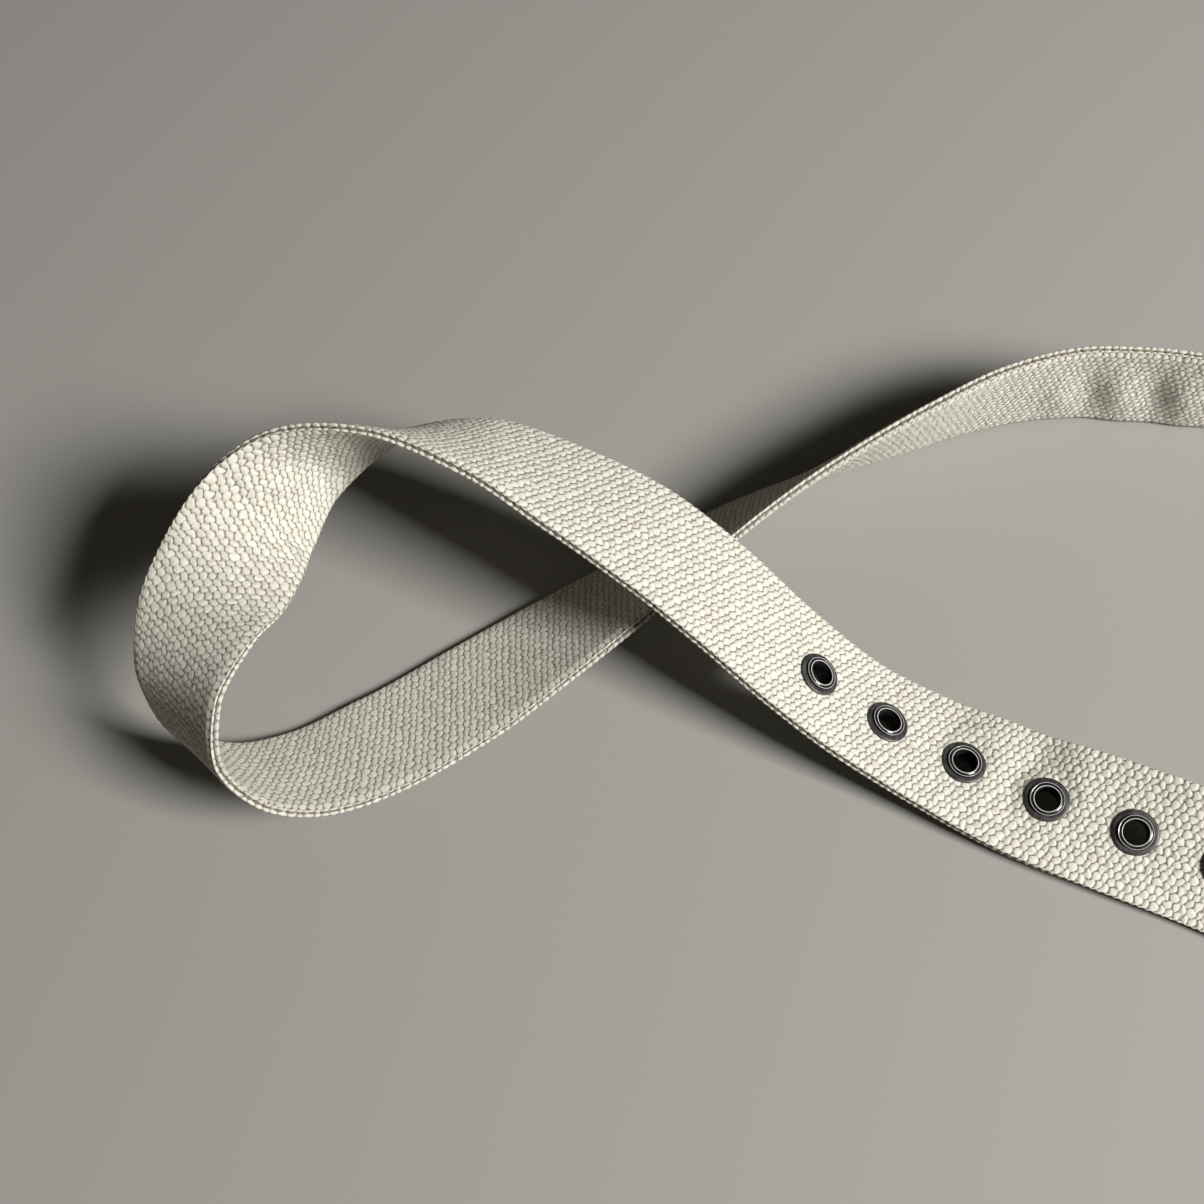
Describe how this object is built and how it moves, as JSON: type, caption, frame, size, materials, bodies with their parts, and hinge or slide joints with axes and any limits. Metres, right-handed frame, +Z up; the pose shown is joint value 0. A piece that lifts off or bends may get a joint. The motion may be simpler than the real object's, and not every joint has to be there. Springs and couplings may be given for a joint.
{
  "type": "eyelet belt",
  "caption": "Woven canvas belt of two plies with a row of black metal eyelets, a single-prong buckle, a sliding keeper and a metal tip, lying in an open figure of eight.",
  "frame": {"origin": "centre of the belt's bounding box, on the surface it lies on", "axes": "+Z up, +X from the left loop towards the buckle and the free end"},
  "size_m": [0.5618, 0.2318, 0.0743],
  "materials": {
    "canvas_webbing": "ecru woven cotton and linen webbing, matt",
    "keeper_webbing": "the same webbing, narrow",
    "seam_thread": "sewing thread, matt",
    "eyelet_black": "black lacquer over brass, glossy",
    "buckle_black": "black lacquer over steel, satin gloss"
  },
  "bodies": {
    "strap": {"outer_ply": "canvas_webbing", "inner_ply": "canvas_webbing", "seam_thread_a": "seam_thread", "seam_thread_b": "seam_thread", "eyelet_1": "eyelet_black", "eyelet_2": "eyelet_black", "eyelet_3": "eyelet_black", "eyelet_4": "eyelet_black", "eyelet_5": "eyelet_black", "eyelet_6": "eyelet_black", "eyelet_7": "eyelet_black", "washer_1": "eyelet_black", "washer_2": "eyelet_black", "washer_3": "eyelet_black", "washer_4": "eyelet_black", "washer_5": "eyelet_black", "washer_6": "eyelet_black", "washer_7": "eyelet_black", "tip_cap": "buckle_black", "tab_rivet_1": "buckle_black", "tab_rivet_2": "buckle_black", "rivet_cap_1": "buckle_black", "rivet_cap_2": "buckle_black"},
    "buckle": {"buckle_frame": "buckle_black"},
    "prong": {"buckle_prong": "buckle_black"},
    "keeper": {"keeper_loop": "keeper_webbing"}
  },
  "joints": [
    {"name": "buckle_swing", "type": "hinge", "parent": "strap", "child": "buckle", "pos_m": [0.24967, 0.09148, 0.00403], "axis": [0, -1, 0], "range_deg": [-40, 75]},
    {"name": "prong_swing", "type": "hinge", "parent": "buckle", "child": "prong", "pos_m": [0.24967, 0.09148, 0.00403], "axis": [0, -1, 0], "range_deg": [0, 60]},
    {"name": "keeper_slide", "type": "slide", "parent": "strap", "child": "keeper", "axis": [0.9995, 0, 0.031], "range_m": [-0.012, 0.011]}
  ]
}
